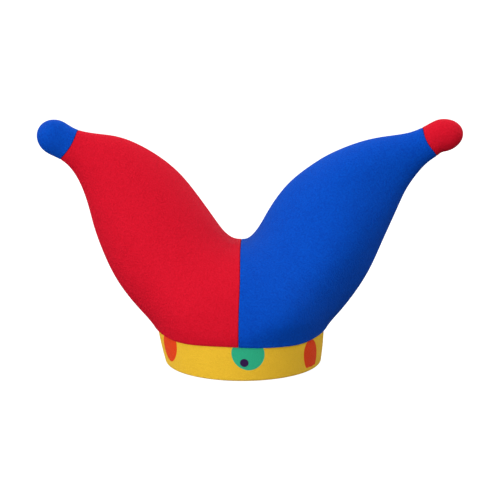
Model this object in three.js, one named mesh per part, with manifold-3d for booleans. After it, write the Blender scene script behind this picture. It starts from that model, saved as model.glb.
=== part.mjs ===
// A padded two-horned jester hat, in millimetres, +Z up.
// The crown is two hollow halves that meet in an upright seam and run out into a left and a right horn.
// Each horn ends in a hollow round tip of the other half's colour, and a band goes round the head opening.
// Heights in the tables and in the horn sizes start at the crown's lower edge.

import * as THREE from 'three';
import { mergeVertices } from 'three/addons/utils/BufferGeometryUtils.js';
import Module from 'manifold-3d';

// Band and head opening
const bandWidth = 176; // outside, at the crown's lower edge
const bandLength = 220; // outside, front to back, at the crown's lower edge
const bandShown = 34.5; // height of the part below the crown's lower edge
const bandTuck = 12; // height of the part hidden inside the crown
const bandTaper = 5; // how far the bottom edge is drawn in all round
const bandLean = 2.5; // how far the bottom edge sits over to the blue side
const bandWall = 5;
const bandHem = 1.5; // rounding of the band's edges

// Crown
const valleyHeight = 93.9; // lower edge up to the dip between the horns
const crownOverhang = 6; // how far the crown's front and back bulge past its lower edge
const lipEdge = 1; // thickness of the crown's turned-under edge
const crownWall = 5;

// Clearance between neighbouring pieces
const seamGap = 0.3;

// Lower edge of the crown, an oval just outside the band
const rimHalfWidth = bandWidth / 2 + seamGap + lipEdge;
const rimHalfLength = bandLength / 2 + seamGap + lipEdge;
const crownHalfDepth = rimHalfLength + crownOverhang;

// Horns. reach and rise place the middle of the round tip, out from the seam and up from the lower edge.
// tipPitch is the slope of the tip's own axis in degrees, and tipBow how far the seam of the tip
// is cut towards the crown on the front and back.
//
// Each row is a section, cut by a plane that holds the front-to-back direction:
//   crestOut  share of reach, of the upper outline
//   crestUp   share of the climb from the valley to the middle of the tip, of the upper outline
//   bellyOut  lower outline: a share of the way from the band's side out to the reach,
//             or if negative, a share of the way from the band's side in to the upright seam
//   bellyUp   lower outline: a share of rise, or if negative, a share of the valley's height.
//             What is below the lower edge is cut off, and only guides the surface above it.
//   deep      half depth, as a share of the way from the tip's half width up to the crown's half depth
//   full      how far up from the belly the section is deepest, as a share of its height
//   pinch     0 for an oval section, more for one whose crest and belly run out thinner
const redHorn = {
  side: -1,
  reach: 195.3,
  rise: 202.7,
  tipWidth: 36.5,
  tipLength: 20.4,
  tipPitch: 32,
  tipBow: 3.5,
  sections: [
    { crestOut: 0, crestUp: 0, bellyOut: -1, bellyUp: -0.46, deep: 1, full: 0.455, pinch: 0 },
    { crestOut: 0.034, crestUp: 0.006, bellyOut: -0.3, bellyUp: -0.32, deep: 0.91, full: 0.48, pinch: 0 },
    { crestOut: 0.071, crestUp: 0.045, bellyOut: 0.006, bellyUp: 0.004, deep: 0.76, full: 0.48, pinch: 0.06 },
    { crestOut: 0.111, crestUp: 0.128, bellyOut: 0.194, bellyUp: 0.115, deep: 0.61, full: 0.49, pinch: 0.2 },
    { crestOut: 0.171, crestUp: 0.281, bellyOut: 0.408, bellyUp: 0.259, deep: 0.465, full: 0.5, pinch: 0.29 },
    { crestOut: 0.273, crestUp: 0.53, bellyOut: 0.557, bellyUp: 0.424, deep: 0.35, full: 0.5, pinch: 0.3 },
    { crestOut: 0.371, crestUp: 0.719, bellyOut: 0.634, bellyUp: 0.543, deep: 0.275, full: 0.5, pinch: 0.29 },
    { crestOut: 0.498, crestUp: 0.881, bellyOut: 0.686, bellyUp: 0.649, deep: 0.197, full: 0.5, pinch: 0.24 },
    { crestOut: 0.642, crestUp: 0.998, bellyOut: 0.751, bellyUp: 0.749, deep: 0.109, full: 0.5, pinch: 0.19 },
    { crestOut: 0.768, crestUp: 1.037, bellyOut: 0.838, bellyUp: 0.831, deep: 0.03, full: 0.5, pinch: 0.11 },
    { crestOut: 0.878, crestUp: 1.073, bellyOut: 0.953, bellyUp: 0.887, deep: -0.012, full: 0.51, pinch: 0 },
  ],
};
const blueHorn = {
  side: 1,
  reach: 210.9,
  rise: 205.2,
  tipWidth: 33.8,
  tipLength: 21.9,
  tipPitch: 10,
  tipBow: 3.5,
  sections: [
    { crestOut: 0, crestUp: 0, bellyOut: -1, bellyUp: -0.46, deep: 1, full: 0.455, pinch: 0 },
    { crestOut: 0.027, crestUp: 0.01, bellyOut: -0.3, bellyUp: -0.325, deep: 0.91, full: 0.48, pinch: 0 },
    { crestOut: 0.06, crestUp: 0.06, bellyOut: 0.005, bellyUp: 0.004, deep: 0.755, full: 0.48, pinch: 0.06 },
    { crestOut: 0.099, crestUp: 0.162, bellyOut: 0.147, bellyUp: 0.103, deep: 0.61, full: 0.485, pinch: 0.21 },
    { crestOut: 0.144, crestUp: 0.311, bellyOut: 0.345, bellyUp: 0.266, deep: 0.47, full: 0.5, pinch: 0.3 },
    { crestOut: 0.234, crestUp: 0.539, bellyOut: 0.477, bellyUp: 0.43, deep: 0.364, full: 0.5, pinch: 0.32 },
    { crestOut: 0.353, crestUp: 0.722, bellyOut: 0.561, bellyUp: 0.545, deep: 0.285, full: 0.5, pinch: 0.29 },
    { crestOut: 0.466, crestUp: 0.846, bellyOut: 0.64, bellyUp: 0.653, deep: 0.21, full: 0.5, pinch: 0.25 },
    { crestOut: 0.636, crestUp: 0.961, bellyOut: 0.721, bellyUp: 0.749, deep: 0.112, full: 0.5, pinch: 0.18 },
    { crestOut: 0.799, crestUp: 1.012, bellyOut: 0.855, bellyUp: 0.85, deep: 0.015, full: 0.5, pinch: 0.12 },
    { crestOut: 0.901, crestUp: 1.072, bellyOut: 0.955, bellyUp: 0.896, deep: -0.006, full: 0.51, pinch: 0 },
  ],
};

// Fineness of the faceted surfaces
const sectionSides = 32;
const hornRings = 24;
const tipRings = 8;
const ovalSides = 56;
const hemSides = 3;

const wasm = await Module();
wasm.setup();

// A smooth curve through evenly spaced values. An end without a given slope runs out straight.
function smoothCurve(values, startSlope, endSlope) {
  const last = values.length - 1;
  const below = values.map(() => 1);
  const middle = values.map(() => 4);
  const above = values.map(() => 1);
  const right = values.map((value, i) => 3 * (values[Math.min(i + 1, last)] - values[Math.max(i - 1, 0)]));
  const ends = [
    { row: 0, slope: startSlope },
    { row: last, slope: endSlope },
  ];
  for (const { row, slope } of ends) {
    const free = slope === undefined;
    middle[row] = free ? 2 : 1;
    below[row] = free ? 1 : 0;
    above[row] = free ? 1 : 0;
    right[row] = free ? right[row] : slope;
  }
  for (let i = 1; i <= last; i++) {
    const factor = below[i] / middle[i - 1];
    middle[i] -= factor * above[i - 1];
    right[i] -= factor * right[i - 1];
  }
  const slopes = [...right];
  slopes[last] = right[last] / middle[last];
  for (let i = last - 1; i >= 0; i--) {
    slopes[i] = (right[i] - above[i] * slopes[i + 1]) / middle[i];
  }
  return (station) => {
    const i = Math.min(Math.max(Math.floor(station), 0), last - 1);
    const s = station - i;
    const rise = values[i + 1] - values[i];
    const start = slopes[i] - rise;
    const end = rise - slopes[i + 1];
    return values[i] + s * rise + s * (1 - s) * (start * (1 - s) + end * s);
  };
}

// The surface of one horn with its half of the crown. A station counts sections along the horn,
// from 0 at the upright seam to the middle of the round tip and on to its end. An angle goes round
// a section from the belly over the front, the crest and the back. inset moves the surface inwards.
function hornSurface(horn) {
  const { side, reach, rise, sections } = horn;
  const tipHalf = horn.tipWidth / 2;
  const pitch = THREE.MathUtils.degToRad(horn.tipPitch);
  const tipMiddle = new THREE.Vector2(reach, rise);
  const tipAxis = new THREE.Vector2(Math.cos(pitch), Math.sin(pitch));
  const tipUp = new THREE.Vector2(-Math.sin(pitch), Math.cos(pitch));
  const crestEnd = tipMiddle.clone().addScaledVector(tipUp, tipHalf);
  const bellyEnd = tipMiddle.clone().addScaledVector(tipUp, -tipHalf);

  const crestOuts = sections.map((row) => row.crestOut * reach);
  const crestUps = sections.map((row) => valleyHeight + row.crestUp * (rise - valleyHeight));
  const bellyOuts = sections.map(
    (row) => rimHalfWidth + row.bellyOut * (row.bellyOut < 0 ? rimHalfWidth : reach - rimHalfWidth)
  );
  const bellyUps = sections.map((row) => row.bellyUp * (row.bellyUp < 0 ? valleyHeight : rise));
  const deeps = sections.map((row) => tipHalf + row.deep * (crownHalfDepth - tipHalf));

  // the last step of the table ends at the middle of the tip, along the tip's own axis
  const neck = new THREE.Vector2(crestOuts.at(-1) + bellyOuts.at(-1), crestUps.at(-1) + bellyUps.at(-1));
  const lastStep = tipMiddle.distanceTo(neck.divideScalar(2));
  const endStep = tipAxis.clone().multiplyScalar(lastStep);

  const crestOut = smoothCurve([...crestOuts, crestEnd.x], undefined, endStep.x);
  const crestUp = smoothCurve([...crestUps, crestEnd.y], 0, endStep.y);
  const bellyOut = smoothCurve([...bellyOuts, bellyEnd.x], undefined, endStep.x);
  const bellyUp = smoothCurve([...bellyUps, bellyEnd.y], 0, endStep.y);
  const deep = smoothCurve([...deeps, tipHalf], 0, 0);
  const full = smoothCurve([...sections.map((row) => row.full), 0.5], 0, 0);
  const pinch = smoothCurve([...sections.map((row) => row.pinch), 0], 0, 0);

  const tipStation = sections.length;
  const endStation = tipStation + (horn.tipLength * Math.PI) / 2 / lastStep;

  // upper and lower outline point, half depth, fullest share and pinch
  function section(station, inset) {
    if (station > tipStation) {
      const turn = ((station - tipStation) / (endStation - tipStation)) * (Math.PI / 2);
      const middle = tipMiddle.clone().addScaledVector(tipAxis, (horn.tipLength - inset) * Math.sin(turn));
      const half = (tipHalf - inset) * Math.cos(turn);
      const crest = middle.clone().addScaledVector(tipUp, half);
      const belly = middle.clone().addScaledVector(tipUp, -half);
      return { crest, belly, depth: half, share: 0.5, thin: 0 };
    }
    const crest = new THREE.Vector2(crestOut(station), crestUp(station));
    const belly = new THREE.Vector2(bellyOut(station), bellyUp(station));
    const height = crest.distanceTo(belly);
    const upwards = crest.clone().sub(belly).divideScalar(height);
    const share = (full(station) * height - inset) / (height - 2 * inset);
    crest.addScaledVector(upwards, -inset);
    belly.addScaledVector(upwards, inset);
    return { crest, belly, depth: deep(station) - inset, share, thin: pinch(station) };
  }

  function ring(stationAt, inset) {
    const points = [];
    for (let j = 0; j < sectionSides; j++) {
      const angle = (2 * Math.PI * j) / sectionSides - Math.PI / 2;
      const { crest, belly, depth, share, thin } = section(stationAt(angle), inset);
      const up = Math.sin(angle);
      const along = share + (up < 0 ? share : 1 - share) * up;
      const place = belly.clone().lerp(crest, along);
      const out = side * (place.x + seamGap / 2);
      const across = Math.cos(angle);
      const deepness = depth * Math.sign(across) * Math.abs(across) ** (1 + thin);
      points.push(new THREE.Vector3(out, -deepness, bandShown + place.y));
    }
    return points;
  }

  return { ring, tipStation, endStation, lastStep };
}

// A closed solid over rings of points. Ends that aren't a single point are closed from their middle.
function loft(rings) {
  const count = rings[0].length;
  const positions = [];
  const triangles = [];
  for (const points of rings) {
    for (const point of points) {
      positions.push(...point);
    }
  }
  for (let i = 0; i < rings.length - 1; i++) {
    for (let j = 0; j < count; j++) {
      const next = (j + 1) % count;
      const corner = [i * count + j, i * count + next, (i + 1) * count + next, (i + 1) * count + j];
      triangles.push([corner[0], corner[1], corner[2]], [corner[0], corner[2], corner[3]]);
    }
  }
  const ends = [
    { row: 0, order: -1 },
    { row: rings.length - 1, order: 1 },
  ];
  for (const { row, order } of ends) {
    const middle = new THREE.Vector3();
    for (const point of rings[row]) {
      middle.addScaledVector(point, 1 / count);
    }
    const hub = positions.length / 3;
    positions.push(...middle);
    for (let j = 0; j < count; j++) {
      const next = (j + 1) % count;
      const from = row * count + (order > 0 ? j : next);
      const to = row * count + (order > 0 ? next : j);
      triangles.push([from, to, hub]);
    }
  }
  return solidOf(positions, triangles);
}

// A manifold solid from loose points and triangles, with like points merged and its faces turned outwards.
function solidOf(positions, triangles) {
  const loose = new THREE.BufferGeometry();
  loose.setAttribute('position', new THREE.Float32BufferAttribute(positions, 3));
  loose.setIndex([...triangles].flat());
  const merged = mergeVertices(loose);
  const place = merged.getAttribute('position');
  const corners = [0, 1, 2].map(() => new THREE.Vector3());
  const kept = [];
  let volume = 0;
  for (let i = 0; i < merged.index.count; i += 3) {
    const triangle = [0, 1, 2].map((k) => merged.index.getX(i + k));
    if (new Set(triangle).size < 3) {
      continue;
    }
    corners.forEach((corner, k) => corner.fromBufferAttribute(place, triangle[k]));
    volume += corners[0].dot(corners[1].clone().cross(corners[2]));
    kept.push(triangle);
  }
  const outwards = kept.map(([a, b, c]) => (volume < 0 ? [a, c, b] : [a, b, c]));
  const mesh = new wasm.Mesh({
    numProp: 3,
    vertProperties: new Float32Array(place.array),
    triVerts: new Uint32Array(outwards.flat()),
  });
  return new wasm.Manifold(mesh);
}

function geometryOf(solid) {
  const { vertProperties, triVerts } = solid.getMesh();
  const geometry = new THREE.BufferGeometry();
  geometry.setAttribute('position', new THREE.BufferAttribute(new Float32Array(vertProperties), 3));
  geometry.setIndex(new THREE.BufferAttribute(new Uint32Array(triVerts), 1));
  geometry.computeVertexNormals();
  return geometry;
}

// Points round the band at one height, moved outwards by outset from its outer face.
function bandOval(height, outset) {
  const drop = Math.max(1 - height / bandShown, 0);
  const halfWidth = bandWidth / 2 - bandTaper * drop;
  const halfLength = bandLength / 2 - bandTaper * drop;
  const points = [];
  for (let j = 0; j < ovalSides; j++) {
    const angle = (2 * Math.PI * j) / ovalSides;
    const normal = new THREE.Vector2(Math.cos(angle) / halfWidth, Math.sin(angle) / halfLength).normalize();
    const x = halfWidth * Math.cos(angle) + bandLean * drop + outset * normal.x;
    const y = halfLength * Math.sin(angle) + outset * normal.y;
    points.push(new THREE.Vector3(x, y, height));
  }
  return points;
}

// What is cut away from the crown: all below its lower edge, and the space of the band with its clearance.
function crownOpening() {
  const rows = [bandShown - bandTuck, bandShown, bandShown + bandTuck + seamGap];
  const bandSpace = loft(rows.map((height) => bandOval(height, seamGap)));
  const below = new THREE.BoxGeometry(2 * bandWidth, 2 * bandLength, 2 * bandShown);
  return bandSpace.add(solidOf(below.getAttribute('position').array, below.index.array));
}

// The band: a flat strip with rounded edges carried round the oval head opening.
function headBand() {
  const top = bandShown + bandTuck;
  const profile = [];
  const corners = [
    { height: bandHem, outset: -bandHem, from: 270 },
    { height: top - bandHem, outset: -bandHem, from: 0 },
    { height: top - bandHem, outset: bandHem - bandWall, from: 90 },
    { height: bandHem, outset: bandHem - bandWall, from: 180 },
  ];
  corners.forEach(({ height, outset, from }, index) => {
    for (let k = 0; k <= hemSides; k++) {
      const angle = THREE.MathUtils.degToRad(from + (90 * k) / hemSides);
      profile.push({
        height: height + bandHem * Math.sin(angle),
        outset: outset + bandHem * Math.cos(angle),
      });
    }
    if (index === 0) {
      profile.push({ height: bandShown, outset: 0 });
    }
    if (index === 2) {
      profile.push({ height: bandShown, outset: -bandWall });
    }
  });
  const rings = profile.map(({ height, outset }) => bandOval(height, outset));
  const positions = [];
  const triangles = [];
  rings.forEach((points) => points.forEach((point) => positions.push(...point)));
  for (let i = 0; i < rings.length; i++) {
    const upper = (i + 1) % rings.length;
    for (let j = 0; j < ovalSides; j++) {
      const next = (j + 1) % ovalSides;
      const below = i * ovalSides;
      const above = upper * ovalSides;
      const corner = [below + j, below + next, above + next, above + j];
      triangles.push([corner[0], corner[1], corner[2]], [corner[0], corner[2], corner[3]]);
    }
  }
  return solidOf(positions, triangles);
}

// Station of the tip's seam at an angle: cut towards the crown by tipBow on the front and back.
function tipSeam(horn, surface, beyond) {
  return (angle) => {
    const bow = horn.tipBow * Math.cos(angle) ** 2;
    return horn.sections.length - 1 + (beyond - bow) / surface.lastStep;
  };
}

// One half of the crown with its horn, up to the seam of the tip.
function hornShell(horn) {
  const surface = hornSurface(horn);
  const pastEnd = crownWall;
  const skin = (inset, beyond) => {
    const end = tipSeam(horn, surface, beyond);
    const rings = [];
    for (let i = 0; i <= hornRings; i++) {
      rings.push(surface.ring((angle) => (end(angle) * i) / hornRings, inset));
    }
    return rings;
  };
  const hollow = skin(crownWall, pastEnd);
  const beforeSeam = hollow[0].map((point) => point.clone().setX(-horn.side * crownWall));
  const outer = loft(skin(0, 0));
  return outer.subtract(loft([beforeSeam, ...hollow])).subtract(crownOpening());
}

// The hollow round tip, open towards the horn.
function tipShell(horn) {
  const surface = hornSurface(horn);
  const skin = (inset, beyond) => {
    const start = tipSeam(horn, surface, beyond);
    const rings = [];
    for (let i = 0; i <= tipRings; i++) {
      const along = i / tipRings;
      rings.push(surface.ring((angle) => start(angle) + along * (surface.endStation - start(angle)), inset));
    }
    return loft(rings);
  };
  return skin(0, seamGap).subtract(skin(crownWall, seamGap - crownWall));
}

const cloth = { metalness: 0, roughness: 0.85 };
const red = { ...cloth, color: 0xd71a32 };
const blue = { ...cloth, color: 0x0f4fc4 };
const yellow = { ...cloth, color: 0xe5b82f };

const pieces = [
  { name: 'red_horn', solid: hornShell(redHorn), finish: red },
  { name: 'blue_horn', solid: hornShell(blueHorn), finish: blue },
  { name: 'blue_tip', solid: tipShell(redHorn), finish: blue },
  { name: 'red_tip', solid: tipShell(blueHorn), finish: red },
  { name: 'head_band', solid: headBand(), finish: yellow },
];

const hat = new THREE.Group();
for (const { name, solid, finish } of pieces) {
  const piece = new THREE.Mesh(geometryOf(solid), new THREE.MeshStandardMaterial(finish));
  piece.name = name;
  hat.add(piece);
}

// The origin lies under the middle of the whole hat, on the surface that it stands on.
const spread = new THREE.Box3().setFromObject(hat);
hat.position.x = -(spread.min.x + spread.max.x) / 2;

export default hat;
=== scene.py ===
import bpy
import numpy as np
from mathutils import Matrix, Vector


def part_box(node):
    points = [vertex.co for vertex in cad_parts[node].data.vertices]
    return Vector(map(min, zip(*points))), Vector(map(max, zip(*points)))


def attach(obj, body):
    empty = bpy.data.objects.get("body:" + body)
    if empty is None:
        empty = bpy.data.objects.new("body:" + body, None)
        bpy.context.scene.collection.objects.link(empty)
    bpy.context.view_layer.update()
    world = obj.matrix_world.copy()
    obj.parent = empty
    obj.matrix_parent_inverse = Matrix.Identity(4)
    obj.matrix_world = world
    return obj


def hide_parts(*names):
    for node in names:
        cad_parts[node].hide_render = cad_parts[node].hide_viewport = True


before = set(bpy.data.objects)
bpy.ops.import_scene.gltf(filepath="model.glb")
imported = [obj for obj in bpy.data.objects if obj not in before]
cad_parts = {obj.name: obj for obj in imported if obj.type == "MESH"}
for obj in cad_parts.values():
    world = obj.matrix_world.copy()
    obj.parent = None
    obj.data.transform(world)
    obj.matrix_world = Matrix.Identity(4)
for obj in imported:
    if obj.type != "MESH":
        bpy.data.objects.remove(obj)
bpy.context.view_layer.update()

# A padded two-horned jester hat on a pale studio floor, seen from the front.
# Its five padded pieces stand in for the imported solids: two horns that meet in an upright seam,
# a round tip on each horn, and a printed band round the head opening.
# Lengths are in millimetres up to the last step of each mesh, which turns them into metres.

METRE = 1000.0  # millimetres in a metre

# Sizes of the hat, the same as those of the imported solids
BAND_WIDTH = 176.0  # outside, at the crown's lower edge
BAND_LENGTH = 220.0  # outside, front to back, at the crown's lower edge
BAND_SHOWN = 34.5  # height of the part below the crown's lower edge
BAND_TUCK = 12.0  # height of the part hidden inside the crown
BAND_TAPER = 5.0  # how far the bottom edge is drawn in all round
BAND_LEAN = 2.5  # how far the bottom edge sits over to the blue side
BAND_WALL = 5.0
VALLEY = 93.9  # lower edge of the crown up to the dip between the horns
CROWN_OVERHANG = 6.0  # how far the crown's front and back bulge past its lower edge
LIP_EDGE = 1.0  # thickness of the crown's turned-under edge
CROWN_WALL = 5.0
SEAM_GAP = 0.3  # clearance between neighbouring pieces

# Lower edge of the crown, an oval just outside the band
RIM_HALF_WIDTH = BAND_WIDTH / 2 + SEAM_GAP + LIP_EDGE
RIM_HALF_LENGTH = BAND_LENGTH / 2 + SEAM_GAP + LIP_EDGE
CROWN_HALF_DEPTH = RIM_HALF_LENGTH + CROWN_OVERHANG

# The upright seam stands midway between the two packed halves
SEAM_X = METRE * (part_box("red_horn")[1].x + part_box("blue_horn")[0].x) / 2

# Soft details that only this finer surface has
SEAM_ROLL = 0.8  # how far the cloth turns in at a seam
INNER_SEAM_GAP = 0.02  # what is left of the upright seam's gap on the inside, where the foam closes it
PANEL_GROOVE = 0.35  # depth of the stitched line along crest and belly
PANEL_GROOVE_WIDTH = 0.9
NAP = 0.3  # how far the cloth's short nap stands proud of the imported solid
DENT = 0.4  # depth of the small broad dents in the foam
DENT_WAVES = 9
DENT_WAVELENGTHS = (60, 130)
DENT_LEVEL = 1.8  # the mean of the waves times this runs from about -1 to 1
SOFT_FREE = 40.0  # swells and dents fade out this near to the middle plane
SOFT_LIFT = 25.0  # and this near to the crown's lower edge
LIP_START = 4.0  # where the crown starts to turn under, above its lower edge
LIP_REACH = 4.5  # how far the turned edge follows the crown and the band before it bends
LIP_MEETS = 2.5  # where the turned edge meets the band, above the crown's lower edge
LIP_AIM = 2.0  # how far above its start the turned edge's direction is taken
# How much higher or lower than level the turned edge lies, evenly from the red side to the blue side
LIP_SWAY = [2.4, 0.3, 0.2, 1.0, 0.8, -0.3, -1.2, -1.3, 1.2]
SEAM_BOW = 0.9  # how far the upright seam bows to the blue side in front
SEAM_BOW_UP = 98.0  # where it bows most, and how tall and wide the bowed patch is
SEAM_BOW_TALL = 24.0
SEAM_BOW_WIDE = 30.0
BAND_BULGE = 0.7  # how far the band's outer face swells out
BAND_HEM = 2.2  # rounding of the band's edges

# Horns. reach and rise place the middle of the round tip, out from the seam and up from the crown's
# lower edge. tip_pitch is the slope of the tip's own axis in degrees, and tip_bow how far the seam of
# the tip is cut towards the crown on the front and back. The lists hold a value for each section:
#   crest_out  share of reach, of the upper outline
#   crest_up   share of the climb from the valley to the middle of the tip, of the upper outline
#   belly_out  lower outline: a share of the way from the band's side out to the reach,
#              or if negative, a share of the way from the band's side in to the upright seam
#   belly_up   lower outline: a share of rise, or if negative, a share of the valley's height
#   deep       half depth, as a share of the way from the tip's half width up to the crown's half depth
#   full       how far up from the belly the section is deepest, as a share of its height
#   pinch      0 for an oval section, more for one whose crest and belly run out thinner
RED_HORN = {
    "side": -1,
    "reach": 195.3,
    "rise": 202.7,
    "tip_width": 36.5,
    "tip_length": 20.4,
    "tip_pitch": 32.0,
    "tip_bow": 3.5,
    "crest_out": [0, 0.034, 0.071, 0.111, 0.171, 0.273, 0.371, 0.498, 0.642, 0.768, 0.878],
    "crest_up": [0, 0.006, 0.045, 0.128, 0.281, 0.53, 0.719, 0.881, 0.998, 1.037, 1.073],
    "belly_out": [-1, -0.3, 0.006, 0.194, 0.408, 0.557, 0.634, 0.686, 0.751, 0.838, 0.953],
    "belly_up": [-0.46, -0.32, 0.004, 0.115, 0.259, 0.424, 0.543, 0.649, 0.749, 0.831, 0.887],
    "deep": [1, 0.91, 0.76, 0.61, 0.465, 0.35, 0.275, 0.197, 0.109, 0.03, -0.012],
    "full": [0.455, 0.48, 0.48, 0.49, 0.5, 0.5, 0.5, 0.5, 0.5, 0.5, 0.51],
    "pinch": [0, 0, 0.06, 0.2, 0.29, 0.3, 0.29, 0.24, 0.19, 0.11, 0],
}
BLUE_HORN = {
    "side": 1,
    "reach": 210.9,
    "rise": 205.2,
    "tip_width": 33.8,
    "tip_length": 21.9,
    "tip_pitch": 10.0,
    "tip_bow": 3.5,
    "crest_out": [0, 0.027, 0.06, 0.099, 0.144, 0.234, 0.353, 0.466, 0.636, 0.799, 0.901],
    "crest_up": [0, 0.01, 0.06, 0.162, 0.311, 0.539, 0.722, 0.846, 0.961, 1.012, 1.072],
    "belly_out": [-1, -0.3, 0.005, 0.147, 0.345, 0.477, 0.561, 0.64, 0.721, 0.855, 0.955],
    "belly_up": [-0.46, -0.325, 0.004, 0.103, 0.266, 0.43, 0.545, 0.653, 0.749, 0.85, 0.896],
    "deep": [1, 0.91, 0.755, 0.61, 0.47, 0.364, 0.285, 0.21, 0.112, 0.015, -0.006],
    "full": [0.455, 0.48, 0.48, 0.485, 0.5, 0.5, 0.5, 0.5, 0.5, 0.5, 0.51],
    "pinch": [0, 0, 0.06, 0.21, 0.3, 0.32, 0.29, 0.25, 0.18, 0.12, 0],
}

# Where the foam swells or sinks on the front: out from the upright seam to the blue side,
# up from the floor, half length, half width, the length's slope in degrees, and the height
SWELLS = [
    (-70, 136, 46, 36, 42, 6.5),
    (-141, 205, 35, 35, 0, -2.6),
    (-4, 68, 28, 30, -5, -3.2),
    (-28, 118, 26, 40, -90, 2.0),
    (-106, 172, 26, 47, 50, 2.2),
    (72, 93, 48, 18, 49, 6.0),
    (108, 166, 46, 18, 98, 2.0),
    (109, 222, 26, 22, 25, 3.2),
    (59, 154, 25, 32, -12, -3.2),
    (117, 96, 29, 18, 43, -2.0),
    (155, 200, 40, 20, 27, -4.8),
    (39, 61, 30, 20, 46, 2.0),
]
BACK_SWELLS = 0.4  # how much of them the back has

# Fineness of the surfaces, as counts of rows, columns and steps
CROWN_ROWS = 90
HORN_ROWS = 110
TIP_ROWS = 56
ROUND_COLUMNS = 288
INNER_HORN_ROWS = 36
INNER_TIP_ROWS = 20
LIP_STEPS = 12
BAND_COLUMNS = 360
BAND_LINE_STEPS = 16 * BAND_COLUMNS
HEM_STEPS = 8
FACE_STEPS = 16
ROW_POWER = 1.8  # brings rows closer together at a seam
COLUMN_GATHER = 0.85  # how closely columns gather at the middle plane
CORNER_SECTIONS = 5  # the crown's outer corner lies in the first sections
CORNER_STEPS = 2000
BOW_SECTIONS = 2  # over how many sections the rows take on the bow of the tip's seam

BAND_FRONT = -np.pi / 2  # the angle of the band's front


def smooth_curve(values, start=None, end=None):
    """A smooth curve through evenly spaced values: cubic pieces, for which the slope before, four
    times the slope at and the slope after a value add up to three times the rise from the value
    before to the value after. An end without a slope of its own runs out straight."""
    values = np.asarray(values, float)
    last = len(values) - 1
    beside = np.ones(last)
    system = np.diag(np.full(last + 1, 4.0)) + np.diag(beside, 1) + np.diag(beside, -1)
    number = np.arange(last + 1)
    right = 3 * (values[np.minimum(number + 1, last)] - values[np.maximum(number - 1, 0)])
    for row, slope in ((0, start), (last, end)):
        if slope is None:
            system[row, row] = 2
        else:
            system[row] = 0
            system[row, row] = 1
            right[row] = slope
    slopes = np.linalg.solve(system, right)

    def at(station):
        first = np.clip(np.floor(station).astype(int), 0, last - 1)
        share = station - first
        rise = values[first + 1] - values[first]
        early = (slopes[first] - rise) * (1 - share)
        late = (rise - slopes[first + 1]) * share
        return values[first] + share * rise + share * (1 - share) * (early + late)

    return at


def horn_curves(horn):
    """The smooth curves of a horn's table, with the tip's own middle and axis.
    A station counts sections from the upright seam, 0, to the middle of the round tip."""
    reach, rise = horn["reach"], horn["rise"]
    half = horn["tip_width"] / 2
    pitch = np.radians(horn["tip_pitch"])
    middle = np.array([reach, rise])
    axis = np.array([np.cos(pitch), np.sin(pitch)])
    upwards = np.array([-np.sin(pitch), np.cos(pitch)])
    crest_end = middle + half * upwards
    belly_end = middle - half * upwards
    belly_out, belly_up = np.array(horn["belly_out"]), np.array(horn["belly_up"])
    crest_x = np.array(horn["crest_out"]) * reach
    crest_z = VALLEY + np.array(horn["crest_up"]) * (rise - VALLEY)
    way_out = np.where(belly_out < 0, RIM_HALF_WIDTH, reach - RIM_HALF_WIDTH)
    belly_x = RIM_HALF_WIDTH + belly_out * way_out
    belly_z = belly_up * np.where(belly_up < 0, VALLEY, rise)
    neck = np.array([crest_x[-1] + belly_x[-1], crest_z[-1] + belly_z[-1]]) / 2
    step = np.linalg.norm(middle - neck)
    deep = half + np.array(horn["deep"]) * (CROWN_HALF_DEPTH - half)
    sections = len(crest_x)
    return {
        "crest_x": smooth_curve([*crest_x, crest_end[0]], None, step * axis[0]),
        "crest_z": smooth_curve([*crest_z, crest_end[1]], 0, step * axis[1]),
        "belly_x": smooth_curve([*belly_x, belly_end[0]], None, step * axis[0]),
        "belly_z": smooth_curve([*belly_z, belly_end[1]], 0, step * axis[1]),
        "deep": smooth_curve([*deep, half], 0, 0),
        "full": smooth_curve([*horn["full"], 0.5], 0, 0),
        "pinch": smooth_curve([*horn["pinch"], 0], 0, 0),
        "middle": middle,
        "axis": axis,
        "upwards": upwards,
        "half": half,
        "length": horn["tip_length"],
        "bow": horn["tip_bow"],
        "step": step,
        "side": horn["side"],
        "seam": sections - 1,
        "tip": sections,
        "end": sections + horn["tip_length"] * np.pi / 2 / step,
    }


def section(horn, station, inset):
    """Upper and lower outline point, half depth, fullest share and pinch of the sections,
    moved in by inset. Past the tip's middle the section shrinks as the cosine of its turn."""
    station, inset = np.broadcast_arrays(station, inset)
    along = np.minimum(station, horn["tip"])
    crest = np.stack([horn["crest_x"](along), horn["crest_z"](along)], -1)
    belly = np.stack([horn["belly_x"](along), horn["belly_z"](along)], -1)
    height = np.linalg.norm(crest - belly, axis=-1)
    upwards = (crest - belly) / height[..., None]
    share = (horn["full"](along) * height - inset) / (height - 2 * inset)
    crest = crest - upwards * inset[..., None]
    belly = belly + upwards * inset[..., None]
    depth = horn["deep"](along) - inset
    pinch = horn["pinch"](along)

    turn = np.clip((station - horn["tip"]) / (horn["end"] - horn["tip"]), 0, 1) * np.pi / 2
    half = (horn["half"] - inset) * np.cos(turn)
    middle = horn["middle"] + ((horn["length"] - inset) * np.sin(turn))[..., None] * horn["axis"]
    past = station > horn["tip"]
    crest = np.where(past[..., None], middle + half[..., None] * horn["upwards"], crest)
    belly = np.where(past[..., None], middle - half[..., None] * horn["upwards"], belly)
    depth = np.where(past, half, depth)
    share = np.where(past, 0.5, share)
    return crest, belly, depth, share, np.where(past, 0, pinch)


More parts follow.
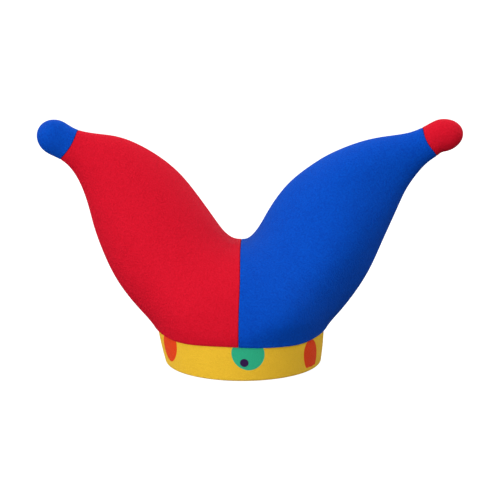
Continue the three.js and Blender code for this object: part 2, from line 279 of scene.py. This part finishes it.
def surface(horn, station, angle, inset):
    """A point of the horn: up = sin(angle) moves it between belly and crest,
    and it lies cos(angle)^(1 + pinch) of the half depth in front of or behind the middle plane."""
    crest, belly, depth, share, pinch = section(horn, station, inset)
    up, across = np.sin(angle), np.cos(angle)
    along = share + np.where(up < 0, share, 1 - share) * up
    place = belly + (crest - belly) * along[..., None]
    x = SEAM_X + horn["side"] * (place[..., 0] + SEAM_GAP / 2)
    y = -depth * np.sign(across) * np.abs(across) ** (1 + pinch)
    return np.stack([x, y, BAND_SHOWN + place[..., 1]], -1)


SWAY = smooth_curve(LIP_SWAY, 0, 0)
SWAY_TURNS = 3  # times that the crossing is found again


def lip_sway(horn, out, share):
    """How much higher than level the crown's edge lies at a distance out from the upright seam:
    a smooth curve through LIP_SWAY, which runs evenly over the crown's width, times a share."""
    across = (horn["side"] * out / RIM_HALF_WIDTH + 1) / 2
    return share * SWAY(np.clip(across, 0, 1) * (len(LIP_SWAY) - 1))


def rim_angle(horn, station, height, inset, sway):
    """The angle at which a section crosses a height above the crown's lower edge. The sway changes
    the height from place to place, so the crossing is found again from the last one."""
    crest, belly, _, share, _ = section(horn, station, inset)
    along = (height - belly[..., 1]) / (crest[..., 1] - belly[..., 1])
    for _ in range(SWAY_TURNS):
        out = belly[..., 0] + (crest[..., 0] - belly[..., 0]) * along
        swayed = height + lip_sway(horn, out, sway)
        along = (swayed - belly[..., 1]) / (crest[..., 1] - belly[..., 1])
    up = (along - share) / np.where(along < share, share, 1 - share)
    return np.arcsin(np.clip(up, -1, 1))


def corner_station(horn, height, inset, sway):
    """The station whose belly point lies at that level, where the level line ends."""
    stations = np.linspace(0, CORNER_SECTIONS, CORNER_STEPS + 1)
    belly = section(horn, stations, np.full_like(stations, inset))[1]
    return np.interp(height, belly[:, 1] - lip_sway(horn, belly[:, 0], sway), stations)


def gathered_columns():
    """Shares from 0 to 1, one for each column, that lie closer together at both ends and in the
    middle: t - gather * sin(4 pi t) / (4 pi)."""
    t = np.linspace(0, 1, ROUND_COLUMNS)
    return t - COLUMN_GATHER * np.sin(4 * np.pi * t) / (4 * np.pi)


def crown_stations(horn, height, inset, rows, sway):
    """Stations from the seam to the corner, close together at the seam, and shrinking as a square
    towards the corner, where the level line turns round."""
    corner = corner_station(horn, height, inset, sway)
    t = np.linspace(0, 1, rows + 1) ** ROW_POWER
    return corner * (1 - (1 - t) ** 2)


def level_line(horn, height, inset, rows, sway):
    """The line on the crown at one level, from the upright seam over the front to the outer corner
    and over the back to the seam again."""
    stations = crown_stations(horn, height, inset, rows, sway)
    angle = rim_angle(horn, stations, height, inset, sway)
    angle[-1] = -np.pi / 2
    front = surface(horn, stations, angle, np.full_like(angle, inset))
    back = surface(horn, stations, np.pi - angle, np.full_like(angle, inset))
    return np.concatenate([front, back[-2::-1]])


def dents(points):
    """Broad shallow dents: a sum of plane waves in directions that are the same each run, which
    lies between about -1 and 1."""
    draw = np.random.default_rng(11)
    total = np.zeros(points.shape[:-1])
    for _ in range(DENT_WAVES):
        across = draw.normal(size=3)
        across /= np.linalg.norm(across)
        wavelength = draw.uniform(*DENT_WAVELENGTHS)
        start = draw.uniform(0, 2 * np.pi)
        total += np.sin(points @ across * 2 * np.pi / wavelength + start)
    return total / DENT_WAVES * DENT_LEVEL


def swells(points):
    """The foam's larger swells and hollows, placed as seen from the front: a sum of bell curves
    height * exp(-(l^2 + w^2) / 2), with l and w the distances along and across each one's length.
    The back has only a share of them."""
    total = np.zeros(points.shape[:-1])
    for out, up, length, width, slope, height in SWELLS:
        aside, above = points[..., 0] - SEAM_X - out, points[..., 2] - up
        cosine, sine = np.cos(np.radians(slope)), np.sin(np.radians(slope))
        along = (aside * cosine + above * sine) / length
        across = (above * cosine - aside * sine) / width
        total += height * np.exp(-(along**2 + across**2) / 2)
    return total * np.where(points[..., 1] > 0, BACK_SWELLS, 1)


def roll_in(distance):
    """How far the cloth has turned in at a distance from its seam: a quarter circle."""
    left = np.clip(SEAM_ROLL - distance, 0, SEAM_ROLL)
    return SEAM_ROLL - np.sqrt(SEAM_ROLL**2 - left**2)


def ease(share):
    """A share from 0 to 1 that starts and ends level: 3 t^2 - 2 t^3."""
    t = np.clip(share, 0, 1)
    return t * t * (3 - 2 * t)


def worked_inset(horn, station, angle, seam_distance):
    """The outer cloth's inset: the rolls at both seams and the panels' stitched line, less the nap
    and the swells and dents of the foam, which fade out at the lower edge, the crest and the belly."""
    plain = surface(horn, station, angle, np.zeros_like(angle))
    from_middle = np.abs(plain[..., 0] - SEAM_X) - SEAM_GAP / 2
    stitched = PANEL_GROOVE * np.exp(-((plain[..., 1] / PANEL_GROOVE_WIDTH) ** 2))
    fade = ease((plain[..., 2] - BAND_SHOWN) / SOFT_LIFT) * ease(np.abs(plain[..., 1]) / SOFT_FREE)
    foam = fade * (swells(plain) - DENT * dents(plain))
    return roll_in(from_middle) + roll_in(seam_distance) + stitched - foam - NAP


def horn_grid(horn, height, inset, horn_rows, sway, worked):
    """Rows of points from the upright seam to the tip's seam. A row before the corner runs from
    the level line over the crest to the level line, and one after it goes all the way round."""
    crown = crown_stations(horn, height, inset, CROWN_ROWS, sway)
    t = 1 - (1 - np.linspace(0, 1, horn_rows + 1)[1:]) ** ROW_POWER
    base = np.concatenate([crown, crown[-1] + t * (horn["seam"] - crown[-1])])
    first = rim_angle(horn, crown, height, inset, sway)
    first[-1] = -np.pi / 2
    first = np.concatenate([first, np.full(horn_rows, -np.pi / 2)])
    angle = first[:, None] + gathered_columns() * (np.pi - 2 * first[:, None])
    near = ease(1 + (base - horn["seam"]) / BOW_SECTIONS)[:, None]
    station = base[:, None] - horn["bow"] * np.cos(angle) ** 2 / horn["step"] * near
    moved = np.full_like(angle, inset)
    if worked:
        to_seam = (horn["seam"] - base[:, None]) * horn["step"] + 0 * angle
        moved = moved + worked_inset(horn, station, angle, to_seam)
    return surface(horn, station, angle, moved)


def tip_grid(horn, inset, rows, worked):
    """Rows of points from the tip's seam to its end."""
    angle = (-np.pi / 2 + gathered_columns()[:-1] * 2 * np.pi)[None, :]
    start = horn["seam"] + (SEAM_GAP - horn["bow"] * np.cos(angle) ** 2) / horn["step"]
    along = (np.linspace(0, 1, rows + 1) ** ROW_POWER)[:, None]
    station = start + along * (horn["end"] - start)
    angle = angle + 0 * station
    moved = np.full_like(angle, inset)
    if worked:
        moved = moved + worked_inset(horn, station, angle, (station - start) * horn["step"])
    return surface(horn, station, angle, moved)


def band_oval(height, outset, angle):
    """A point of the band: an oval that draws in and leans over below the crown's lower edge,
    moved outwards by outset along the oval's normal."""
    height, outset, angle = np.broadcast_arrays(height, outset, angle)
    drop = np.maximum(1 - height / BAND_SHOWN, 0)
    half_width = BAND_WIDTH / 2 - BAND_TAPER * drop
    half_length = BAND_LENGTH / 2 - BAND_TAPER * drop
    normal = np.stack([np.cos(angle) / half_width, np.sin(angle) / half_length], -1)
    normal = normal / np.linalg.norm(normal, axis=-1, keepdims=True)
    x = SEAM_X + half_width * np.cos(angle) + BAND_LEAN * drop + outset * normal[..., 0]
    y = half_length * np.sin(angle) + outset * normal[..., 1]
    return np.stack([x, y, height], -1)


def grid_faces(index):
    """Four-cornered faces between neighbouring rows and columns of a table of point numbers."""
    a, b = index[:-1, :-1], index[:-1, 1:]
    c, d = index[1:, 1:], index[1:, :-1]
    return np.stack([a, b, c, d], -1).reshape(-1, 4)


def make_piece(name, points, quads, caps=(), side=1):
    """A mesh object at the origin from points in millimetres, four-cornered faces and caps.
    A face with a repeated corner becomes a triangle, and the mirrored side turns its faces round."""
    quads = quads[:, ::side]
    kept = quads != np.roll(quads, -1, 1)
    whole = kept.sum(1) > 2
    quads, kept = quads[whole], kept[whole]
    corners = np.concatenate([quads[kept], *[cap[::side] for cap in caps]])
    sizes = np.concatenate([kept.sum(1), [len(cap) for cap in caps]]).astype(int)
    used, corners = np.unique(corners, return_inverse=True)

    mesh = bpy.data.meshes.new(name)
    mesh.vertices.add(len(used))
    mesh.vertices.foreach_set("co", (points[used] / METRE).reshape(-1))
    mesh.loops.add(len(corners))
    mesh.loops.foreach_set("vertex_index", corners.reshape(-1))
    mesh.polygons.add(len(sizes))
    mesh.polygons.foreach_set("loop_start", np.concatenate([[0], np.cumsum(sizes)[:-1]]))
    mesh.polygons.foreach_set("use_smooth", np.ones(len(sizes), bool))
    mesh.update(calc_edges=True)
    piece = bpy.data.objects.new(name, mesh)
    bpy.context.scene.collection.objects.link(piece)
    return piece


def numbered(points, first=0):
    """A table of point numbers in the shape of a grid of points."""
    rows, columns = points.shape[:2]
    return first + np.arange(rows * columns).reshape(rows, columns)


def lip_grid(horn, rim):
    """The crown's turned-under edge, carried along its level line: a Bezier curve that leaves the
    crown's surface, bends under and meets the band, then goes up between band and crown."""
    above = level_line(horn, LIP_START + LIP_AIM, 0, CROWN_ROWS, 1)
    path = np.gradient(rim, axis=0)
    path /= np.linalg.norm(path, axis=1, keepdims=True)
    down = rim - above
    down -= (down * path).sum(1, keepdims=True) * path
    down /= np.linalg.norm(down, axis=1, keepdims=True)
    angle = np.arctan2(rim[:, 1] / BAND_LENGTH, (rim[:, 0] - SEAM_X) / BAND_WIDTH)
    meets = band_oval(BAND_SHOWN + LIP_MEETS, SEAM_GAP, angle)
    meets[:, 2] += lip_sway(horn, np.abs(rim[:, 0] - SEAM_X), 1)
    meets[[0, -1], 0] = rim[[0, -1], 0]
    top = meets.copy()
    top[:, 2] = BAND_SHOWN + BAND_TUCK + SEAM_GAP
    t = np.linspace(0, 1, LIP_STEPS + 1)[1:, None, None]
    leaving = rim + LIP_REACH * down
    arriving = meets - [0, 0, LIP_REACH]
    curve = (1 - t) ** 3 * rim + 3 * (1 - t) ** 2 * t * leaving
    curve = curve + 3 * (1 - t) * t**2 * arriving + t**3 * meets
    return np.concatenate([curve, top[None]])


def seam_bow(points):
    """How far the front is drawn over to the blue side round the upright seam: a bell curve
    bow * exp(-(x / wide)^2 - (z / tall)^2), which fades out towards the middle plane."""
    aside = (points[..., 0] - SEAM_X) / SEAM_BOW_WIDE
    above = (points[..., 2] - SEAM_BOW_UP) / SEAM_BOW_TALL
    return SEAM_BOW * np.exp(-(aside**2) - above**2) * ease(-points[..., 1] / SOFT_FREE)


def edge_of(index):
    """Point numbers along a horn grid's lower edge: over the front to the corner and back."""
    return np.concatenate([index[: CROWN_ROWS + 1, 0], index[CROWN_ROWS - 1 :: -1, -1]])


def padded_horn(name, horn):
    """One half of the crown with its horn: an outer and an inner sheet, joined by the turned edge
    at the band, the cut face in the upright seam and the cut face at the tip's seam."""
    outer = horn_grid(horn, LIP_START, 0, HORN_ROWS, 1, True)
    inner = horn_grid(horn, BAND_TUCK + SEAM_GAP, CROWN_WALL, INNER_HORN_ROWS, 0, False)
    inner[0, :, 0] = SEAM_X + horn["side"] * INNER_SEAM_GAP / 2
    outer_index = numbered(outer)
    inner_index = numbered(inner, outer_index.size)
    for index in (outer_index, inner_index):
        index[CROWN_ROWS:, -1] = index[CROWN_ROWS:, 0]
    points = np.concatenate([outer.reshape(-1, 3), inner.reshape(-1, 3)])
    lip = lip_grid(horn, points[edge_of(outer_index)])
    lip_index = [edge_of(outer_index)[None], numbered(lip, len(points)), edge_of(inner_index)[None]]
    lip_index = np.concatenate(lip_index)
    points = np.concatenate([points, lip.reshape(-1, 3)])
    points[:, 0] += seam_bow(points)
    quads = [
        grid_faces(outer_index[:, ::-1]),
        grid_faces(inner_index),
        grid_faces(lip_index[:, ::-1]),
        grid_faces(np.stack([outer_index[0], inner_index[0]])),
        grid_faces(np.stack([outer_index[-1, ::-1], inner_index[-1, ::-1]])),
    ]
    caps = [lip_index[::-1, 0], lip_index[:, -1]]
    return make_piece(name, points, np.concatenate(quads), caps, horn["side"])


def round_and_closed(index):
    """A round grid's point numbers, with the first column repeated and the last row as one point."""
    index = np.concatenate([index, index[:, :1]], 1)
    index[-1] = index[-1, 0]
    return index


def padded_tip(name, horn):
    """A round tip: an outer and an inner sheet, each closed by a point at its end, joined by the
    cut face at the seam."""
    outer = tip_grid(horn, 0, TIP_ROWS, True)
    inner = tip_grid(horn, CROWN_WALL, INNER_TIP_ROWS, False)
    outer_index = round_and_closed(numbered(outer))
    inner_index = round_and_closed(numbered(inner, numbered(outer).size))
    quads = [
        grid_faces(outer_index[:, ::-1]),
        grid_faces(inner_index),
        grid_faces(np.stack([outer_index[0], inner_index[0]])),
    ]
    points = np.concatenate([outer.reshape(-1, 3), inner.reshape(-1, 3)])
    return make_piece(name, points, np.concatenate(quads), side=horn["side"])


def band_profile():
    """The band's cross section as heights, outsets and length along the cloth: up the outer face,
    which bulges as a parabola, round the top hem, down the inner face and round the lower hem."""
    top = BAND_SHOWN + BAND_TUCK
    lift = np.linspace(0, 1, FACE_STEPS + 1)[1:-1]
    bulge = BAND_BULGE * (1 - (2 * lift - 1) ** 2)
    face = BAND_HEM + lift * (top - 2 * BAND_HEM)
    turn = np.linspace(0, np.pi / 2, HEM_STEPS + 1)
    falling = BAND_HEM * (1 - np.sin(turn))
    rising = BAND_HEM * (1 - np.cos(turn))
    profile = [
        (face, bulge),
        (top - falling, -rising),
        (top - rising, falling - BAND_WALL),
        (face[::-1], 0 * face - BAND_WALL),
        (falling, rising - BAND_WALL),
        (rising, -falling),
    ]
    height, outset = (np.concatenate(columns) for columns in zip(*profile))
    step = np.hypot(np.diff(height), np.diff(outset))
    length = face[0] + np.concatenate([[0], np.cumsum(step)])
    return height, outset, length


def band_line(angle):
    """Lengths along the band's outer face at half its shown height, at each angle from the first."""
    fine = np.linspace(angle[0], angle[-1], BAND_LINE_STEPS + 1)
    line = band_oval(BAND_SHOWN / 2, 0, fine)
    length = np.concatenate([[0], np.cumsum(np.linalg.norm(np.diff(line, axis=0), axis=1))])
    return np.interp(angle, fine, length)


def padded_band(name):
    """The band: its cross section carried round the oval, with a map in metres whose u runs round
    from the front and whose v runs up the outer face."""
    height, outset, length = band_profile()
    angle = BAND_FRONT + np.linspace(0, 2 * np.pi, BAND_COLUMNS + 1)
    rings = band_oval(height[:, None], outset[:, None], angle[None, :-1])
    rows, columns = rings.shape[:2]
    index = numbered(rings)
    index = np.concatenate([index, index[:, :1]], 1)
    index = np.concatenate([index, index[:1]])
    piece = make_piece(name, rings.reshape(-1, 3), grid_faces(index))

    around = band_line(angle)
    last = length[-1] + np.hypot(height[0] - height[-1], outset[0] - outset[-1])
    up = np.concatenate([length, [last]])
    half = (height > BAND_SHOWN / 2).nonzero()[0][-1]
    up = np.where(np.arange(rows + 1) > half, up - last, up)
    row, column = np.divmod(np.arange(rows * columns), columns)
    corner_rows = np.stack([row, row, row + 1, row + 1], 1)
    corner_columns = np.stack([column, column + 1, column + 1, column], 1)
    uv = np.stack([around[corner_columns], up[corner_rows]], -1) / METRE
    piece.data.uv_layers.new(name="cloth").data.foreach_set("uv", uv.reshape(-1))
    return piece


# Materials


class Nodes:
    """A short way to write a material's nodes."""

    def __init__(self, name):
        self.material = bpy.data.materials.new(name)
        self.material.use_nodes = True
        self.tree = self.material.node_tree
        self.shader = self.tree.nodes["Principled BSDF"]

    def add(self, kind, settings=(), **inputs):
        """A new node with its settings, and with its inputs set as put sets them."""
        node = self.tree.nodes.new(kind)
        for key, value in dict(settings).items():
            setattr(node, key, value)
        for key, value in inputs.items():
            self.put(node, key, value)
        return node

    def put(self, node, key, value):
        """Gives an input a value or a link. The key is the input's name, with _ for a space, or the
        letter i and the input's number."""
        number = key[1:] if key[0] == "i" and key[1:].isdigit() else None
        socket = node.inputs[int(number)] if number else node.inputs[key.replace("_", " ")]
        if isinstance(value, bpy.types.NodeSocket):
            self.tree.links.new(value, socket)
        else:
            socket.default_value = value

    def math(self, operation, first, second=0.0, third=0.0):
        """The result of a sum on one to three values."""
        settings = {"operation": operation}
        return self.add("ShaderNodeMath", settings, i0=first, i1=second, i2=third).outputs[0]

    def mix(self, share, first, second):
        """A colour that is the first at a share of 0 and the second at 1."""
        node = self.add("ShaderNodeMix", {"data_type": "RGBA"}, i0=share)
        for key, value in (("i6", first), ("i7", second)):
            linked = isinstance(value, bpy.types.NodeSocket)
            self.put(node, key, value if linked else (*value, 1))
        return node.outputs[2]

    def stretch(self, value, low, high, start=0.0, end=1.0):
        """A value between low and high, drawn out evenly to run from start to end."""
        node = self.add("ShaderNodeMapRange", {"clamp": True}, i0=value, i1=low, i2=high)
        self.put(node, "i3", start)
        self.put(node, "i4", end)
        return node.outputs[0]

    def noise(self, place, size, detail, roughness=0.5):
        """Noise whose lumps are about size millimetres across."""
        node = self.add("ShaderNodeTexNoise", Vector=place, Scale=METRE / size, Detail=detail)
        self.put(node, "Roughness", roughness)
        return node.outputs[0]

    def bump(self, height, strength, depth, **more):
        """Bump whose full height is depth in millimetres."""
        distance = depth / METRE
        node = self.add("ShaderNodeBump", Height=height, Strength=strength, Distance=distance, **more)
        return node.outputs[0]


# The brushed knit has fibres, soft lumps of nap, and mottling. Sizes and depths are in millimetres.
FIBRE_SIZE = 1.7
FIBRE_NOISE_ROUGHNESS = 0.6
FIBRE_RANGE = (0.3, 0.7)  # the part of the fibres' noise that is drawn out to run from 0 to 1
FIBRE_SHARE = 0.7  # share of the colour's changes that comes from the fibres
FIBRE_STRENGTH = 0.9
FIBRE_DEPTH = 0.36
LUMP_SIZE = 3.5
LUMP_STRENGTH = 0.5
LUMP_DEPTH = 0.3
MOTTLE_SIZE = 14.0
MOTTLE_SHARE = 0.3  # share of the colour's changes that comes from the mottling

# Its gloss: the roughness, what the lumps add to it, and a low sheen
ROUGHNESS = 0.66
LUMP_ROUGHNESS = 0.16
SPECULAR = 0.04
SHEEN_WEIGHT = 0.06
SHEEN_ROUGHNESS = 0.4


def brushed_knit(name, colour, sheen):
    """Fine brushed knit over foam: fibres and soft lumps as bump, and a colour that changes faintly
    with the fibres and with the mottling."""
    cloth = Nodes(name)
    place = cloth.add("ShaderNodeTexCoord").outputs["Object"]
    mottle = cloth.noise(place, MOTTLE_SIZE, 3)
    fibre = cloth.stretch(cloth.noise(place, FIBRE_SIZE, 2, FIBRE_NOISE_ROUGHNESS), *FIBRE_RANGE)
    lumps = cloth.noise(place, LUMP_SIZE, 2)
    shade = cloth.math("MULTIPLY", mottle, MOTTLE_SHARE)
    shade = cloth.math("MULTIPLY_ADD", fibre, FIBRE_SHARE, shade)
    fine = cloth.bump(fibre, FIBRE_STRENGTH, FIBRE_DEPTH)
    soft = cloth.bump(lumps, LUMP_STRENGTH, LUMP_DEPTH, Normal=fine)
    for key, value in {
        "Base Color": colour(cloth, shade),
        "Roughness": cloth.math("MULTIPLY_ADD", lumps, LUMP_ROUGHNESS, ROUGHNESS),
        "Specular IOR Level": SPECULAR,
        "Sheen Weight": SHEEN_WEIGHT,
        "Sheen Tint": (*sheen, 1),
        "Sheen Roughness": SHEEN_ROUGHNESS,
        "Normal": soft,
    }.items():
        cloth.put(cloth.shader, key, value)
    return cloth.material


# Colours, each with the lighter and the darker end of its faint changes, and the sheen's tints
RED_LIGHT, RED_DARK = (0.72, 0.0084, 0.0288), (0.61, 0.004, 0.0172)
BLUE_LIGHT, BLUE_DARK = (0.0015, 0.0905, 0.597), (0.0007, 0.049, 0.428)
RED_SHEEN, BLUE_SHEEN, WHITE_SHEEN = (1, 0.1, 0.2), (0.15, 0.3, 0.5), (1, 1, 1)
YELLOW_LIGHT, YELLOW_DARK = (0.925, 0.56, 0.036), (0.85, 0.50, 0.029)
GREEN, ORANGE, PURPLE = (0.031, 0.46, 0.245), (0.82, 0.056, 0.0075), (0.035, 0.012, 0.074)

# Printed spots: colour, middle round the band from the front and up from the lower edge, and the
# two half widths that span each spot, aside and upwards. The stretched cloth skews the side ones.
SPOTS = [
    (ORANGE, (-89.8, 26.5), (16.8, 1.8), (4.2, 17.2)),
    (GREEN, (8.8, 27.9), (16.1, 0), (0, 16.3)),
    (PURPLE, (4.4, 19.3), (4.2, 0), (0, 4.2)),
    (ORANGE, (90.0, 16.9), (15.0, -1.7), (-2.0, 17.4)),
    (GREEN, (186, 23), (16.2, 0), (0, 16.2)),
    (PURPLE, (190, 15), (4.2, 0), (0, 4.2)),
    (ORANGE, (283, 21), (16.2, 0), (0, 16.2)),
    (GREEN, (-204, 20), (16.2, 0), (0, 16.2)),
    (PURPLE, (-208, 27), (4.2, 0), (0, 4.2)),
]
SPOT_EDGE = 0.02  # how softly the print's edge ends, as a share of the spot's half width


def red(cloth, shade):
    """The red cloth's colour."""
    return cloth.mix(shade, RED_DARK, RED_LIGHT)


def blue(cloth, shade):
    """The blue cloth's colour."""
    return cloth.mix(shade, BLUE_DARK, BLUE_LIGHT)


def printed_yellow(cloth, shade):
    """The band's colour: yellow cloth with round spots. Each spot is where s^2 + t^2 < 1, with s and
    t the place in the band's own map, measured in the spot's two half widths."""
    place = cloth.add("ShaderNodeUVMap", {"uv_map": "cloth"}).outputs[0]
    parts = cloth.add("ShaderNodeSeparateXYZ", Vector=place)
    whole_round = band_line(BAND_FRONT + np.array([0, 2 * np.pi]))[-1]
    half_round = whole_round / 2 / METRE
    inner, outer = 1 - SPOT_EDGE / 2, 1 + SPOT_EDGE / 2
    base = cloth.mix(shade, YELLOW_DARK, YELLOW_LIGHT)
    for colour, (across, up), aside, upwards in SPOTS:
        u = cloth.math("SUBTRACT", parts.outputs[0], across / METRE)
        u = cloth.math("WRAP", u, half_round, -half_round)
        v = cloth.math("SUBTRACT", parts.outputs[1], up / METRE)
        turned = np.linalg.inv(np.array([aside, upwards]).T / METRE)
        squares = []
        for from_u, from_v in turned.tolist():
            share = cloth.math("MULTIPLY_ADD", u, from_u, cloth.math("MULTIPLY", v, from_v))
            squares.append(cloth.math("MULTIPLY", share, share))
        distance = cloth.math("SQRT", cloth.math("ADD", *squares))
        print_share = cloth.stretch(distance, inner, outer, 1.0, 0.0)
        base = cloth.mix(print_share, base, colour)
    return base


red_cloth = brushed_knit("red_cloth", red, RED_SHEEN)
blue_cloth = brushed_knit("blue_cloth", blue, BLUE_SHEEN)
printed_cloth = brushed_knit("printed_yellow_cloth", printed_yellow, WHITE_SHEEN)

# The padded pieces

red_curves = horn_curves(RED_HORN)
blue_curves = horn_curves(BLUE_HORN)
pieces = [
    (padded_horn("padded_red_horn", red_curves), "red_horn", "red_cloth", red_cloth),
    (padded_horn("padded_blue_horn", blue_curves), "blue_horn", "blue_cloth", blue_cloth),
    (padded_tip("padded_blue_tip", red_curves), "blue_tip", "blue_cloth", blue_cloth),
    (padded_tip("padded_red_tip", blue_curves), "red_tip", "red_cloth", red_cloth),
    (padded_band("padded_band"), "head_band", "yellow_cloth", printed_cloth),
]
for piece, node, slot, material in pieces:
    piece.data.materials.append(material)
    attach(piece, "root")
    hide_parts(node)

# Studio

FLOOR_RADIUS = 3200.0
FLOOR_BEND = 800.0  # radius of the bend between floor and wall
FLOOR_WALL = 2000.0
FLOOR_RINGS = 11
FLOOR_BEND_RINGS = 24
FLOOR_COLUMNS = 96
FLOOR_GREY = 0.25
FLOOR_GLOW = 0.93


def studio_floor():
    """A round pale floor whose rim bends up in a quarter circle and runs on as a low wall."""
    level = FLOOR_RADIUS - FLOOR_BEND
    turn = np.linspace(0, np.pi / 2, FLOOR_BEND_RINGS)
    inside = np.linspace(0, level, FLOOR_RINGS, endpoint=False)
    out = np.concatenate([inside, level + FLOOR_BEND * np.sin(turn), [FLOOR_RADIUS]])
    up = np.concatenate([0 * inside, FLOOR_BEND - FLOOR_BEND * np.cos(turn), [FLOOR_WALL]])
    angle = np.linspace(0, 2 * np.pi, FLOOR_COLUMNS, endpoint=False)
    out, up = out[:, None], up[:, None]
    points = np.stack([out * np.cos(angle), out * np.sin(angle), up + 0 * angle], -1)
    index = round_and_closed(numbered(points)[::-1])
    return make_piece("studio_floor", points.reshape(-1, 3), grid_faces(index))


floor = studio_floor()
pale = Nodes("pale_floor")
for key, value in {
    "Base Color": (FLOOR_GREY, FLOOR_GREY, FLOOR_GREY, 1),
    "Roughness": 0.9,
    "Specular IOR Level": 0.1,
    "Emission Color": (1, 1, 1, 1),
    "Emission Strength": FLOOR_GLOW,
}.items():
    pale.put(pale.shader, key, value)
floor.data.materials.append(pale.material)
floor.visible_diffuse = False
floor.visible_glossy = False
floor.visible_shadow = False


SUN_SPREAD = np.radians(40)

# Wide soft suns: strength, degrees round from the front towards the blue side, degrees up
SUNS = {
    "front_key": (0.51, -20, 8),
    "side_key": (0.56, -50, 8),
    "floor_bounce": (0.99, -30, -35),
    "blue_side_rim": (0.85, 110, 40),
    "red_side_rim": (0.6, -120, 40),
}
SKY = 0.88


def direction(azimuth, elevation):
    """A unit vector to a place so many degrees round from the front and up."""
    round_front, up = np.radians(azimuth), np.radians(elevation)
    level = np.cos(up)
    return Vector((level * np.sin(round_front), -level * np.cos(round_front), np.sin(up)))


for name, (strength, azimuth, elevation) in SUNS.items():
    data = bpy.data.lights.new(name, "SUN")
    data.energy = strength
    data.angle = SUN_SPREAD
    light = bpy.data.objects.new(name, data)
    light.rotation_euler = direction(azimuth, elevation).to_track_quat("Z", "Y").to_euler()
    bpy.context.scene.collection.objects.link(light)

# An even white sky that lights from above the horizon only
world = bpy.data.worlds.new("studio")
world.use_nodes = True
sky = world.node_tree
parts = sky.nodes.new("ShaderNodeSeparateXYZ")
above = sky.nodes.new("ShaderNodeMath")
above.operation = "GREATER_THAN"
above.inputs[1].default_value = 0.0
strength = sky.nodes.new("ShaderNodeMath")
strength.operation = "MULTIPLY"
strength.inputs[1].default_value = SKY
sky.links.new(sky.nodes.new("ShaderNodeTexCoord").outputs["Generated"], parts.inputs[0])
sky.links.new(parts.outputs[2], above.inputs[0])
sky.links.new(above.outputs[0], strength.inputs[0])
sky.links.new(strength.outputs[0], sky.nodes["Background"].inputs["Strength"])
sky.nodes["Background"].inputs["Color"].default_value = (1, 1, 1, 1)
bpy.context.scene.world = world
bpy.context.scene.view_settings.view_transform = "Standard"

# Camera: 1.2 m from the middle of the hat, a little above it, and looking down at it

CAMERA_DISTANCE = 1.2
CAMERA_AZIMUTH = 0.9
CAMERA_ELEVATION = 6.64
CAMERA_TARGET = Vector((0.00074, 0, 0.1182))
CAMERA_LENS = 81.08
CAMERA_SENSOR = 36
camera_data = bpy.data.cameras.new("camera")
camera_data.lens = CAMERA_LENS
camera_data.sensor_width = CAMERA_SENSOR
camera = bpy.data.objects.new("camera", camera_data)
back = direction(CAMERA_AZIMUTH, CAMERA_ELEVATION)
camera.location = CAMERA_TARGET + CAMERA_DISTANCE * back
camera.rotation_euler = back.to_track_quat("Z", "Y").to_euler()
bpy.context.scene.collection.objects.link(camera)
bpy.context.scene.camera = camera
